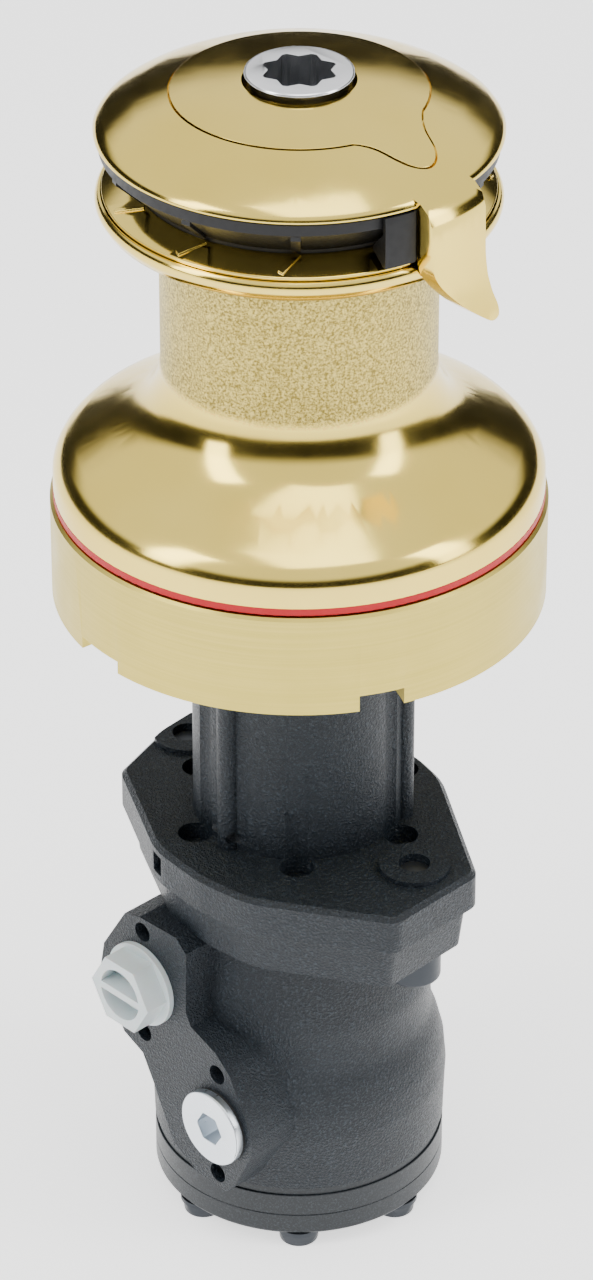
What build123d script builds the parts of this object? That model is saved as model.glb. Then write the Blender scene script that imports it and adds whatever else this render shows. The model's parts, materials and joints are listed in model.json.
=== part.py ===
"""Powered self-tailing sailing winch.

The winch is an assembly of separate pieces on one vertical axis. The origin is on that axis in the
deck plane, under the bronze base, +Z is up, +X runs along the two motor bolts and the face with the
two oil ports looks along -Y. The first speed of the gear train is engaged. Lengths are millimetres.
"""
import math
import os

from build123d import *

os.makedirs("parts", exist_ok=True)

# ---- overall sizes ------------------------------------------------------------------------------
base_r = 78.5           # outer radius of the bronze base
base_h = 34.4           # height of the base above the deck
drum_r = 43.2           # radius of the sandblasted rope grip
skirt_r = 77.4          # radius of the drum's lower skirt
lip_r = 62.2            # radius of the rounded lip under the jaws
dome_r = 62.6           # radius of the self-tailing arm's dome
ring_top = 180.6        # top of the chrome handle socket
column_r = 34.5         # radius of the adapter column
flange_corners = [      # corners of the adapter flange and the radius that rounds each
    (70.4, -25.3, 6), (69.3, 12.5, 6), (22.5, 43.5, 30), (6.0, 47.5, 30), (-22.0, 43.5, 30), (-63.4, 17.9, 7),
    (-61.5, -6.0, 30), (-54.2, -29.3, 6), (-13.0, -52.0, 30), (9.0, -54.0, 30), (29.5, -51.5, 30)
]
motor_r = 48.4          # radius of the motor's round plates

# ---- shared fits --------------------------------------------------------------------------------
run_gap = 0.05          # radial clearance of a running fit
seat_gap = 0.02         # radial clearance of a seated fit inside one body
air = 0.5               # least gap between pieces that pass each other

# ---- levels -------------------------------------------------------------------------------------
floor_t = 8.0           # thickness of the base floor
recess_h = 3.0          # depth of the recess that locates the adapter
low_gear_z = 10.0       # second-speed shaft gear
low_gear_h = 7.0
low_pinion_z = 19.0     # second-speed pinion
low_pinion_h = 10.0
high_gear_z = 31.0      # first-speed gears
high_gear_h = 10.0
carrier_z = 43.0        # plate that carries the stem
carrier_h = 6.0
stem_z = carrier_z + carrier_h
stem_flange_h = 6.0
drum_web_z = 58.0       # underside of the drum's web
drum_top = 135.0        # seat of the upper jaw
neck_z = 151.2          # shoulder of the stem, where the arm sits
neck_top = 166.0

# ---- gear train ---------------------------------------------------------------------------------
module = 2.0
pressure_deg = 25.0
ring_teeth = 60
high_teeth = 20
idler_teeth = 12
idler_pinion_teeth = 14
low_shaft_teeth = 12
low_gear_teeth = 28
low_pinion_teeth = 20
tooth_play = 0.20       # backlash of each mesh, along the pitch circle
ring_pitch_r = module * ring_teeth / 2
idler_r = module * (high_teeth + idler_teeth) / 2
idler_pinion_r = ring_pitch_r - module * idler_pinion_teeth / 2
low_axis_r = ring_pitch_r - module * low_pinion_teeth / 2
idler_span = module * (idler_teeth + idler_pinion_teeth) / 2
idler_deg = 20.0
cos_span = (idler_r**2 + idler_pinion_r**2 - idler_span**2) / (2 * idler_r * idler_pinion_r)
idler_pinion_deg = idler_deg + math.degrees(math.acos(cos_span))
low_axis_deg = (idler_deg + idler_pinion_deg) / 2 + 180

# ---- shaft, stem and bearings ---------------------------------------------------------------------
shaft_r = 12.5
stem_bore_r = 16.5
stem_r = 30.0
neck_r = 21.0
drum_bore_r = 36.0
roller_r = (drum_bore_r - stem_r) / 2 - 0.04
roller_track_r = (drum_bore_r + stem_r) / 2
roller_count = 16
roller_h = 16.0
lower_cage_z = 59.0
upper_cage_z = 106.0
cage_h = 20.0
pin_r = 4.0
low_pin_r = 6.0

# ---- ratchets -------------------------------------------------------------------------------------
ratchet_in = 13.6
ratchet_out = 15.6
ratchet_teeth = 12
ratchet_lean = 4.4      # lean of the steep faces, degrees, which clears the folding pawls
pawl_pivot_r = 10.2
pawl_eye_r = 1.9
pawl_tip_deg = 38.0
pawl_fold_deg = 18.0
pawl_h = 5.8

# ---- adapter and motor ------------------------------------------------------------------------------
top_flange_r = 46.0
adapter_low = -97.0     # underside of the adapter flange
adapter_flange_h = 13.0
motor_bolt_x = 53.2
motor_low = -206.0      # underside of the motor housing
spacer_h = 3.0
stator_h = 8.0
end_cover_h = 8.0
cover_bolts_n = 7
cover_bolt_pcr = 41.0
port_face_y = -54.0
stator_roll_r = 30.0
stator_roll = 6.0
orbit_e = 2.9
roll_deg = -44 + 180 / 7    # rollers lie midway between the cover bolts


def polar(radius, angle):
    """Point at a radius and an angle in degrees."""
    return (radius * math.cos(math.radians(angle)), radius * math.sin(math.radians(angle)))


def involute_half(teeth, radius, half_at_pitch):
    """Half angle of a tooth, in radians, at a radius of its involute flank."""
    base = module * teeth / 2 * math.cos(math.radians(pressure_deg))
    at_pitch = math.radians(pressure_deg)
    at_radius = math.acos(min(1.0, base / max(radius, base)))
    return half_at_pitch + math.tan(at_pitch) - at_pitch - math.tan(at_radius) + at_radius


def gear_face(teeth, r_low, r_high, half_at_pitch):
    """Toothed outline of involute flanks between two radii, with one tooth centred on +X."""
    base = module * teeth / 2 * math.cos(math.radians(pressure_deg))
    r_start = max(r_low, base * 1.01)
    r_mid = (r_start + r_high) / 2
    step = 360 / teeth
    half = [math.degrees(involute_half(teeth, r, half_at_pitch)) for r in (r_start, r_mid, r_high)]
    with BuildSketch() as outline:
        with BuildLine():
            for i in range(teeth):
                mid = i * step
                if r_low < r_start:
                    Line(polar(r_low, mid - half[0]), polar(r_start, mid - half[0]))
                ThreePointArc(
                    polar(r_start, mid - half[0]), polar(r_mid, mid - half[1]), polar(r_high, mid - half[2])
                )
                ThreePointArc(
                    polar(r_high, mid - half[2]), polar(r_high, mid), polar(r_high, mid + half[2])
                )
                ThreePointArc(
                    polar(r_high, mid + half[2]), polar(r_mid, mid + half[1]), polar(r_start, mid + half[0])
                )
                if r_low < r_start:
                    Line(polar(r_start, mid + half[0]), polar(r_low, mid + half[0]))
                ThreePointArc(
                    polar(r_low, mid + half[0]), polar(r_low, mid + step / 2),
                    polar(r_low, mid + step - half[0])
                )
        make_face()
    return outline.sketch


def outer_gear(teeth):
    """Outline of an external gear."""
    pitch_r = module * teeth / 2
    half = math.pi / 2 / teeth - tooth_play / 4 / pitch_r
    return gear_face(teeth, pitch_r - 1.05 * module, pitch_r + 0.8 * module, half)


def inner_gear(teeth):
    """Outline of the toothed hole of an internal gear, with one space centred on +X."""
    pitch_r = module * teeth / 2
    half = math.pi / 2 / teeth + tooth_play / 4 / pitch_r
    return gear_face(teeth, pitch_r - 0.8 * module, pitch_r + 1.05 * module, half)


def outside_phase(teeth_1, phase_1, teeth_2, toward):
    """Angle of a tooth of gear 2 that meshes outside gear 1, seen from gear 1 toward an angle."""
    return toward + 180 - (180 - teeth_1 * (toward - phase_1)) / teeth_2


def inside_phase(teeth_ring, teeth_2, toward):
    """Angle of a tooth of a pinion inside the ring gear, placed toward an angle."""
    return toward - teeth_ring * toward / teeth_2


def ratchet_face(turn):
    """Saw-toothed hole that the pawls push on, with its steep faces just past the pawl tips."""
    first = pawl_tip_deg + 1.9 + turn
    step = 360 / ratchet_teeth
    with BuildSketch() as outline:
        with BuildLine():
            for i in range(ratchet_teeth):
                low, high = first + i * step, first + (i + 1) * step
                Line(polar(ratchet_in, low + ratchet_lean), polar(ratchet_out, high))
                Line(polar(ratchet_out, high), polar(ratchet_in, high + ratchet_lean))
        make_face()
    return outline.sketch


def pawl_face():
    """Outline of one pawl, standing out, with its eye on +X."""
    with BuildSketch() as outline:
        with Locations((pawl_pivot_r, 0)):
            Circle(pawl_eye_r)
        with BuildLine():
            Polyline(
                (pawl_pivot_r - 1.7, 0.5), (pawl_pivot_r + 1.7, 0.5), polar(14.8, pawl_tip_deg),
                polar(12.7, pawl_tip_deg + 1), (pawl_pivot_r - 1.7, 0.5)
            )
        make_face()
    return outline.sketch


def pocket_face():
    """Outline of the pocket that one pawl folds into."""
    with BuildSketch() as outline:
        with Locations((pawl_pivot_r, 0)):
            Circle(pawl_eye_r + run_gap)
        with BuildLine():
            Polyline((8.2, 0.4), (6.5, 9.9), (14, 9.9), (14, 0.4), (8.2, 0.4))
        make_face()
    return outline.sketch


def cap_screw(d, length, head_d=0.0, head_h=0.0):
    """Socket-head screw: the head's underside is at z = 0 and the shank points down."""
    head_d = head_d or 1.5 * d
    head_h = head_h or d
    with BuildPart() as screw:
        with Locations((0, 0, -length)):
            Cylinder(d / 2, length + 0.01, align=(Align.CENTER, Align.CENTER, Align.MIN))
        Cylinder(head_d / 2, head_h, align=(Align.CENTER, Align.CENTER, Align.MIN))
        with BuildSketch(Plane.XY.offset(head_h)):
            RegularPolygon(0.28 * head_d, 6)
        extrude(amount=-0.55 * head_h, mode=Mode.SUBTRACT)
        chamfer(screw.faces().sort_by(Axis.Z)[-1].outer_wire().edges(), 0.06 * head_d)
    return screw.part


def hex_screw(d, length, across):
    """Hexagon-head screw: the head's underside is at z = 0 and the shank points down."""
    head_h = 0.65 * d
    with BuildPart() as screw:
        with Locations((0, 0, -length)):
            Cylinder(d / 2, length + 0.01, align=(Align.CENTER, Align.CENTER, Align.MIN))
        with BuildSketch():
            RegularPolygon(across / 2, 6, major_radius=False)
        extrude(amount=head_h)
        with BuildSketch():
            Circle(across / 2 * 1.12)
        extrude(amount=head_h, taper=12, mode=Mode.INTERSECT)
        with Locations((0, 0, -length)):
            Cylinder(d / 2, length + 0.01, align=(Align.CENTER, Align.CENTER, Align.MIN))
    return screw.part


def rims(piece, radius):
    """Circular edges of one radius, from the lowest to the highest."""
    round_edges = piece.edges().filter_by(GeomType.CIRCLE)
    return round_edges.filter_by(lambda e: abs(e.radius - radius) < 0.01).sort_by(Axis.Z)


def save(piece, label):
    """Name one piece and write its STEP file."""
    piece.part.label = label
    export_step(piece.part, f"parts/{label}.step")


# ==================================================================================================
# base, gear carrier and stem
# ==================================================================================================
wall_in = base_r - 4.0
pillar_r = 7.0
pillar_pcr = 46.4
pillar_deg = [idler_deg + a for a in (78, 135, 258, 318)]
idler_at = polar(idler_r, idler_deg)
idler_pinion_at = polar(idler_pinion_r, idler_pinion_deg)
low_at = polar(low_axis_r, low_axis_deg)
pillar_at = [polar(pillar_pcr, a) for a in pillar_deg]
deck_bolt_pcr = 66.0
adapter_screw_pcr = 40.5
adapter_screw_deg = [15 + 60 * i for i in range(6)]
long_channel_deg = [15, 135, 255]
notches = [(-96.5, 18.6, 4.3), (83.5, 18.6, 4.3), (-25.0, 14.5, 5.5), (155.0, 14.5, 5.5)]

with BuildPart() as base_housing:
    with BuildSketch():
        Circle(base_r)
    extrude(amount=base_h)
    with BuildSketch(Plane.XY.offset(floor_t)):
        Circle(wall_in)
    extrude(amount=base_h, mode=Mode.SUBTRACT)
    chamfer(rims(base_housing, base_r)[-1], 0.9)
    # short seats under the carrier's legs and the gear pins
    with BuildSketch(Plane.XY.offset(floor_t)):
        with Locations(*pillar_at):
            Circle(pillar_r + 0.5)
    extrude(amount=4)
    with BuildSketch(Plane.XY.offset(floor_t)):
        with Locations(idler_at, idler_pinion_at):
            Circle(pin_r + 3.5)
    extrude(amount=high_gear_z - floor_t - air)
    # underside: recess for the adapter, bores and drain notches
    with BuildSketch():
        Circle(top_flange_r + 0.5)
    extrude(amount=recess_h, mode=Mode.SUBTRACT)
    with Locations((0, 0, floor_t)):
        Hole(shaft_r + 3.5)
    with BuildSketch(Plane.XY.offset(recess_h)):
        with Locations(idler_at, idler_pinion_at):
            Circle(pin_r + seat_gap)
        with Locations(low_at):
            Circle(low_pin_r + seat_gap)
        with Locations(*pillar_at):
            Circle(2.6)
        with Locations(*[polar(adapter_screw_pcr, a) for a in adapter_screw_deg]):
            Circle(2.6)
    extrude(amount=base_h, mode=Mode.SUBTRACT)
    with Locations((0, 0, floor_t)):
        with PolarLocations(deck_bolt_pcr, 4, 45):
            Hole(4.2)
    for angle, width, high in notches:
        with BuildSketch(Plane.XY):
            with Locations(polar(base_r - 4, angle)):
                Rectangle(16, width, rotation=angle)
        extrude(amount=high, mode=Mode.SUBTRACT)
save(base_housing, "base_housing")

with BuildPart() as gear_carrier:
    with BuildSketch(Plane.XY.offset(carrier_z)):
        Circle(54.4)
        Circle(stem_bore_r, mode=Mode.SUBTRACT)
    extrude(amount=carrier_h)
    with BuildSketch(Plane.XY.offset(floor_t + 4)):
        with Locations(*pillar_at):
            Circle(pillar_r)
    extrude(amount=carrier_z - floor_t - 4 + 0.01)
    with Locations(*[(x, y, stem_z) for x, y in pillar_at]):
        CounterBoreHole(3.02, 5.2, 5.8)
    with BuildSketch(Plane.XY.offset(carrier_z)):
        with PolarLocations(36.5, 6, 10):
            Circle(2.6)
        with Locations(idler_at, idler_pinion_at):
            Circle(pin_r + seat_gap)
        with Locations(low_at):
            Circle(low_pin_r + seat_gap)
    extrude(amount=carrier_h, mode=Mode.SUBTRACT)
save(gear_carrier, "gear_carrier")

with BuildPart() as carrier_screws:
    with Locations(*[(x, y, stem_z - 5.8) for x, y in pillar_at]):
        add(cap_screw(5.16, 38.5, head_d=10, head_h=5.4))
save(carrier_screws, "carrier_screws")

with BuildPart() as drum_stem:
    with BuildSketch(Plane.XZ):
        with BuildLine():
            Polyline(
                (stem_bore_r, stem_z), (41.5, stem_z), (41.5, stem_z + stem_flange_h),
                (stem_r, stem_z + stem_flange_h), (stem_r, neck_z), (neck_r, neck_z), (neck_r, neck_top),
                (stem_bore_r, neck_top), (stem_bore_r, stem_z)
            )
        make_face()
    revolve(axis=Axis.Z)
    with Locations((0, 0, stem_z + stem_flange_h)):
        with PolarLocations(36.5, 6, 10):
            CounterBoreHole(2.6, 4.6, 5.0, depth=stem_flange_h)
    # two flats stop the arm from turning
    with BuildSketch(Plane.XY.offset(neck_z)):
        Circle(neck_r + 1)
        Rectangle(2 * neck_r + 4, 2 * (neck_r - 1.5), mode=Mode.SUBTRACT)
    extrude(amount=7.0, mode=Mode.SUBTRACT)
save(drum_stem, "drum_stem")

with BuildPart() as stem_screws:
    with Locations((0, 0, stem_z + 1.0)):
        with PolarLocations(36.5, 6, 10):
            add(cap_screw(5.16, 6.6, head_d=8.8, head_h=4.8))
save(stem_screws, "stem_screws")

# ==================================================================================================
# drum, ring gear and jaws
# ==================================================================================================
skirt_low = 37.5
with BuildPart() as drum:
    with BuildSketch(Plane.XZ):
        with BuildLine():
            Polyline(
                (73.6, skirt_low), (skirt_r, skirt_low), (skirt_r, 43.5), (77.0, 45.4), (75.6, 48.2),
                (73.4, 50.6), (70.0, 52.8), (60.0, 58.4), (52.5, 63.0), (48.2, 67.4), (45.4, 72.6),
                (43.8, 77.6), (drum_r, 82.5)
            )
            Polyline(
                (drum_r, 82.5), (drum_r, 124.5), (44.2, 126.6), (47.0, 128.6), (52.0, 131.0),
                (57.5, 133.0), (60.6, 134.8)
            )
            Line((60.6, 134.8), (lip_r, 137.4))
            ThreePointArc((lip_r, 137.4), (lip_r + 0.25, 139.2), (lip_r - 0.3, 140.6))
            Line((lip_r - 0.3, 140.6), (lip_r - 0.7, 141.0))
            Polyline(
                (lip_r - 0.7, 141.0), (lip_r - 1.4, 141.0), (lip_r - 1.4, 136.2), (lip_r - 4.2, 134.6),
                (50.4, 134.4), (50.4, drum_top), (drum_bore_r - 2, drum_top), (drum_bore_r - 2, 127.0),
                (drum_bore_r, 127.0), (drum_bore_r, drum_web_z), (48.5, drum_web_z),
                (67.4, 46.4), (67.4, 42.5), (73.6, 42.5), (73.6, skirt_low)
            )
        make_face()
    revolve(axis=Axis.Z)
    with BuildSketch(Plane.XY.offset(42.5)):
        with PolarLocations(70.2, 12):
            Circle(1.7)
    extrude(amount=6.0, mode=Mode.SUBTRACT)
    with BuildSketch(Plane.XY.offset(drum_top)):
        with PolarLocations(40.6, 6):
            Circle(2.1)
    extrude(amount=-7.0, mode=Mode.SUBTRACT)
save(drum, "drum")

with BuildPart() as skirt_ring:
    with BuildSketch(Plane.XZ):
        with Locations((75.8, 36.2)):
            Rectangle(3.4, 2.6)
    revolve(axis=Axis.Z)
    fillet(rims(skirt_ring, 77.5)[0], 0.5)
save(skirt_ring, "skirt_ring")

with BuildPart() as ring_gear:
    with BuildSketch(Plane.XY.offset(18.5)):
        Circle(66.3)
    extrude(amount=24.0)
    with BuildSketch(Plane.XY.offset(38.7)):
        Circle(73.5)
    extrude(amount=3.8)
    with BuildSketch(Plane.XY.offset(18.5)):
        add(inner_gear(ring_teeth))
    extrude(amount=24.0, mode=Mode.SUBTRACT)
    with BuildSketch(Plane.XY.offset(38.7)):
        with PolarLocations(70.2, 12):
            Circle(1.7)
    extrude(amount=3.8, mode=Mode.SUBTRACT)
save(ring_gear, "ring_gear")

with BuildPart() as ring_gear_screws:
    with Locations(Location((0, 0, 38.7), (180, 0, 0))):
        with PolarLocations(70.2, 12):
            add(cap_screw(3.36, 9.0, head_d=6.0, head_h=3.0))
save(ring_gear_screws, "ring_gear_screws")

jaw_hub_r = 50.2
lower_jaw_r = lip_r - 1.8
lower_jaw_in = jaw_hub_r + 0.08
rib_count = 11
with BuildPart() as lower_jaw:
    with BuildSketch(Plane.XZ):
        with BuildLine():
            Polyline(
                (lower_jaw_in, 138.6), (lower_jaw_r - 1.6, 138.6), (lower_jaw_r, 139.8), (lower_jaw_r, 142.0),
                (lower_jaw_r - 0.3, 142.3), (lower_jaw_in, 145.1), (lower_jaw_in, 138.6)
            )
        make_face()
    revolve(axis=Axis.Z)
    # slanted ribs that hold the rope
    with BuildPart(mode=Mode.PRIVATE) as rib_ring:
        with BuildSketch(Plane.XY.offset(141.0)):
            for i in range(rib_count):
                out = polar(lower_jaw_r - 1.5, -49.4 + i * 360 / rib_count)
                inn = polar(lower_jaw_in + 0.8, -44.4 + i * 360 / rib_count)
                heading = math.degrees(math.atan2(inn[1] - out[1], inn[0] - out[0]))
                with Locations(((out[0] + inn[0]) / 2, (out[1] + inn[1]) / 2)):
                    Rectangle(math.dist(out, inn), 2.0, rotation=heading)
        extrude(amount=6.0)
        with BuildSketch(Plane.XZ):
            with BuildLine():
                Polyline(
                    (lower_jaw_in, 140.0), (lower_jaw_r - 0.3, 140.0), (lower_jaw_r - 0.3, 142.4),
                    (lower_jaw_r - 1.3, 143.3), (lower_jaw_in, 145.7), (lower_jaw_in, 140.0)
                )
            make_face()
        revolve(axis=Axis.Z, mode=Mode.INTERSECT)
    add(rib_ring.part)
save(lower_jaw, "lower_jaw")

with BuildPart() as upper_jaw:
    with BuildSketch(Plane.XZ):
        with BuildLine():
            Polyline(
                (drum_bore_r - 1.5, drum_top), (jaw_hub_r, drum_top), (jaw_hub_r, 146.2), (61.2, 156.6),
                (61.2, 160.0), (60.3, 160.9), (57.6, 160.9), (57.0, 157.6), (49.0, 150.2),
                (drum_bore_r - 1.5, 150.2), (drum_bore_r - 1.5, drum_top)
            )
        make_face()
    revolve(axis=Axis.Z)
    # saw teeth under the cone
    with BuildPart(mode=Mode.PRIVATE) as tooth_ring:
        with BuildSketch(Plane.XY.offset(144.0)):
            for i in range(rib_count):
                mid = -45.0 + i * 360 / rib_count
                with Locations(polar(56.2, mid)):
                    Rectangle(8.6, 3.0, rotation=mid)
        extrude(amount=14.0)
        with BuildSketch(Plane.XZ):
            with BuildLine():
                Polyline(
                    (51.0, 147.2), (52.4, 146.9), (60.6, 154.6), (60.6, 158.0), (51.0, 149.0), (51.0, 147.2)
                )
            make_face()
        revolve(axis=Axis.Z, mode=Mode.INTERSECT)
    add(tooth_ring.part)
    with Locations((0, 0, 150.2)):
        with PolarLocations(40.6, 6):
            CounterBoreHole(2.6, 4.6, 5.2, depth=15.3)
    # lightening pockets open upwards
    with BuildSketch(Plane.XY.offset(150.2)):
        with PolarLocations(42.0, 6, 30):
            SlotOverall(17, 9, rotation=90)
    extrude(amount=-9.0, mode=Mode.SUBTRACT)
save(upper_jaw, "upper_jaw")

with BuildPart() as jaw_screws:
    with Locations((0, 0, 145.0)):
        with PolarLocations(40.6, 6):
            add(cap_screw(4.16, 16.5, head_d=8.4, head_h=4.6))
save(jaw_screws, "jaw_screws")

with BuildPart() as jaw_springs:
    with PolarLocations(54.0, 8, 22.5):
        for turn in range(3):
            with Locations((0, 0, 135.1 + turn * 1.4)):
                Torus(2.2, 0.4)
        with Locations((2.2, 0, 136.5)):
            Cylinder(0.35, 2.8)
save(jaw_springs, "jaw_springs")

with BuildPart() as bearing_cages:
    for low in (lower_cage_z, upper_cage_z):
        with BuildSketch(Plane.XY.offset(low)):
            Circle(roller_track_r + 1.9)
            Circle(roller_track_r - 1.9, mode=Mode.SUBTRACT)
        extrude(amount=cage_h)
        with Locations((0, 0, low + cage_h / 2)):
            with PolarLocations(roller_track_r, roller_count):
                Box(8, 2 * roller_r + 0.3, roller_h + 0.3, mode=Mode.SUBTRACT)
save(bearing_cages, "bearing_cages")

with BuildPart() as bearing_rollers:
    for low in (lower_cage_z, upper_cage_z):
        with Locations((0, 0, low + cage_h / 2)):
            with PolarLocations(roller_track_r, roller_count):
                Cylinder(roller_r, roller_h)
save(bearing_rollers, "bearing_rollers")

with BuildPart() as bearing_spacer:
    with BuildSketch(Plane.XY.offset(lower_cage_z + cage_h + air)):
        Circle(roller_track_r + 1.5)
        Circle(stem_r + seat_gap, mode=Mode.SUBTRACT)
    extrude(amount=upper_cage_z - lower_cage_z - cage_h - 2 * air)
save(bearing_spacer, "bearing_spacer")

with BuildPart() as thrust_washer:
    with BuildSketch(Plane.XY.offset(stem_z + stem_flange_h)):
        Circle(40)
        Circle(stem_r + 0.6, mode=Mode.SUBTRACT)
    extrude(amount=drum_web_z - stem_z - stem_flange_h - 0.4)
save(thrust_washer, "thrust_washer")

# ==================================================================================================
# self-tailing arm, cover and handle socket
# ==================================================================================================
cover_r = 39.3
seam = 0.6
tear_deg = 1.5


def cover_outline(grow):
    """Round cover with a teardrop point, grown by a seam."""
    side = [(-28, cover_r - 0.4), (-18.9, 40.1), (-12.5, 43.9), (-8.4, 49.5), (-4.4, 53.0)]
    other = [(3.6, 53.4), (6.9, 50.7), (12.0, 44.4), (21.3, 39.9), (31, cover_r - 0.4)]
    points = [polar(r + grow / 2, tear_deg + a - math.degrees(grow / r)) for a, r in side]
    points.append(polar(54.4 + grow, tear_deg))
    points += [polar(r + grow / 2, tear_deg + a + math.degrees(grow / r)) for a, r in other]
    with BuildSketch() as outline:
        with BuildLine():
            Spline(*points)
            Polyline(points[-1], polar(20, tear_deg + 60), polar(20, tear_deg - 60), points[0])
        make_face()
        Circle(cover_r + grow)
    return outline.sketch


dome_line = [(cover_r, 174.0), (50.0, 170.0), (55.0, 167.5), (59.4, 165.0), (61.6, 163.4), (dome_r, 162.0)]
with BuildPart() as cover_bed:
    with BuildSketch(Plane.XZ):
        with BuildLine():
            Polyline(
                (0, 170.6), (cover_r, 170.6), (49.0, 168.4), (54.0, 165.9), (58.6, 163.3), (60.4, 162.2),
                (66.0, 164.0), (66.0, 185.0), (0, 185.0), (0, 170.6)
            )
        make_face()
    revolve(axis=Axis.Z)
    with BuildSketch(Plane.XY.offset(150)):
        add(cover_outline(seam))
    extrude(amount=40, mode=Mode.INTERSECT)

arm_mid = 3.0
with BuildPart() as self_tailing_arm:
    with BuildSketch(Plane.XZ):
        with BuildLine():
            Polyline(
                (neck_r + seat_gap, neck_z), (32.0, neck_z), (33.5, 165.0), (37.0, 166.8), (46.0, 166.8),
                (54.5, 163.2), (58.8, 161.25), (dome_r, 161.25), (dome_r, 162.0)
            )
            Polyline(*reversed(dome_line))
            Polyline((cover_r, 174.0), (36.0, 175.0), (28.0, 175.0), (28.0, 158.0), (neck_r + seat_gap, 158.0))
            Line((neck_r + seat_gap, 158.0), (neck_r + seat_gap, neck_z))
        make_face()
    revolve(axis=Axis.Z)
    # the flats of the bore
    with BuildSketch(Plane.XY.offset(neck_z)):
        with Locations((0, neck_r - 0.7), (0, -neck_r + 0.7)):
            Rectangle(22, 1.5)
    extrude(amount=6.8)
    for low, high, r in ((160.0, 168.4, 3.2), (160.0, 172.0, 1.7)):
        with BuildSketch(Plane.XY.offset(low)):
            with PolarLocations(36.5, 3, 40):
                Circle(r)
        extrude(amount=high - low, mode=Mode.SUBTRACT)
    # arm that lifts the rope from the drum into the jaws
    with BuildPart(mode=Mode.PRIVATE) as lug:
        with BuildSketch(Plane.YZ.offset(55)):
            with BuildLine():
                Spline(
                    (-14.6, 150.0), (-14.4, 144.0), (-13.2, 139.0), (-9.6, 133.6), (-3.5, 127.2), (2.5, 122.2),
                    (6.4, 119.4), (9.2, 118.8), (10.9, 120.8), (10.4, 125.2), (9.0, 131.0), (8.2, 137.0),
                    (8.0, 143.0), (8.0, 150.0)
                )
                Polyline((8.0, 150.0), (8.0, 164.0), (-14.6, 164.0), (-14.6, 150.0))
            make_face()
        extrude(amount=25)
        with BuildSketch(Plane.XZ):
            with BuildLine():
                Polyline(
                    (62.9, 112.0), (62.9, 161.25), (58.9, 161.25), (58.9, 163.2), (61.0, 163.8), (64.2, 162.9),
                    (67.4, 160.2), (68.8, 156.0), (69.2, 141.0), (69.8, 133.0), (71.0, 126.6),
                    (73.2, 119.6), (72.0, 114.0), (62.9, 112.0)
                )
            make_face()
        revolve(axis=Axis.Z, mode=Mode.INTERSECT)
    with Locations(Rotation(0, 0, arm_mid)):
        add(lug.part)
    add(cover_bed.part, mode=Mode.SUBTRACT)
save(self_tailing_arm, "self_tailing_arm")

# the stripper reaches into the groove and peels the rope out of the jaws
with BuildPart() as stripper:
    with BuildSketch(Plane.XZ):
        with BuildLine():
            Polyline(
                (63.6, 144.0), (61.6, 143.8), (60.4, 144.4), (54.6, 146.2), (54.6, 147.6), (61.8, 154.7),
                (61.8, 160.6), (63.2, 160.6), (63.6, 158.0), (63.6, 144.0)
            )
        make_face()
    revolve(axis=Axis.Z, revolution_arc=9.2)
    with BuildSketch(Plane.XZ):
        with BuildLine():
            Polyline(
                (62.6, 144.0), (61.6, 143.8), (60.4, 144.4), (54.6, 146.2), (54.6, 147.6), (61.8, 154.7),
                (61.8, 160.6), (62.6, 160.6), (62.6, 144.0)
            )
        make_face()
    revolve(axis=Axis.Z, revolution_arc=28)
stripper.part = Rot(0, 0, -20.4) * stripper.part
save(stripper, "stripper")

with BuildPart() as arm_cover:
    with BuildSketch(Plane.XZ):
        with BuildLine():
            Polyline(
                (17.5, 177.6), (17.5, 170.9), (cover_r + 0.2, 170.9), (49.2, 168.8), (54.2, 166.3),
                (58.8, 163.7), (60.2, 163.0), (62.0, 163.9), (59.4, 165.3), (55.0, 167.8), (50.0, 170.3),
                (cover_r, 174.2), (30.0, 176.2), (17.5, 177.6)
            )
        make_face()
    revolve(axis=Axis.Z)
    with BuildSketch(Plane.XY.offset(150)):
        add(cover_outline(0))
    extrude(amount=40, mode=Mode.INTERSECT)
    with BuildSketch(Plane.XY.offset(170.9)):
        with PolarLocations(36.5, 3, 40):
            Circle(1.7)
    extrude(amount=3.0, mode=Mode.SUBTRACT)
save(arm_cover, "arm_cover")

with BuildPart() as cover_screws:
    with Locations((0, 0, 168.4)):
        with PolarLocations(36.5, 3, 40):
            with Locations(Location((0, 0, 0), (180, 0, 0))):
                add(cap_screw(3.36, 5.0, head_d=5.6, head_h=2.0))
save(cover_screws, "cover_screws")

with BuildPart() as arm_nut:
    with BuildSketch(Plane.XY.offset(158)):
        Circle(27)
        Circle(neck_r + seat_gap, mode=Mode.SUBTRACT)
        with PolarLocations(27, 4):
            Rectangle(5, 5, mode=Mode.SUBTRACT)
    extrude(amount=7)
save(arm_nut, "arm_nut")

socket_r = 15.0
square = 17.46
with BuildPart() as handle_socket:
    with BuildSketch(Plane.XY.offset(138)):
        Circle(socket_r)
    extrude(amount=42.0)
    with BuildSketch(Plane.XY.offset(179.6)):
        Circle(16.8)
    extrude(amount=ring_top - 179.6)
    fillet(handle_socket.faces().sort_by(Axis.Z)[-1].outer_wire().edges(), 0.9)
    with BuildSketch(Plane.XY.offset(147)):
        Rectangle(square, square, rotation=23.6)
        Rectangle(square, square, rotation=68.6)
        Circle(11.6, mode=Mode.INTERSECT)
    extrude(amount=34.0, mode=Mode.SUBTRACT)
    with BuildSketch(Plane.XY.offset(138)):
        Rectangle(15.0 + 2 * seat_gap, 15.0 + 2 * seat_gap)
    extrude(amount=6.0, mode=Mode.SUBTRACT)
    with BuildSketch(Plane.XY.offset(144)):
        Circle(3.1)
    extrude(amount=3.0, mode=Mode.SUBTRACT)
save(handle_socket, "handle_socket")

with BuildPart() as socket_screw:
    with Locations((0, 0, 147.0)):
        add(cap_screw(6.0, 16.0, head_d=10.0, head_h=5.0))
save(socket_screw, "socket_screw")

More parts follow.
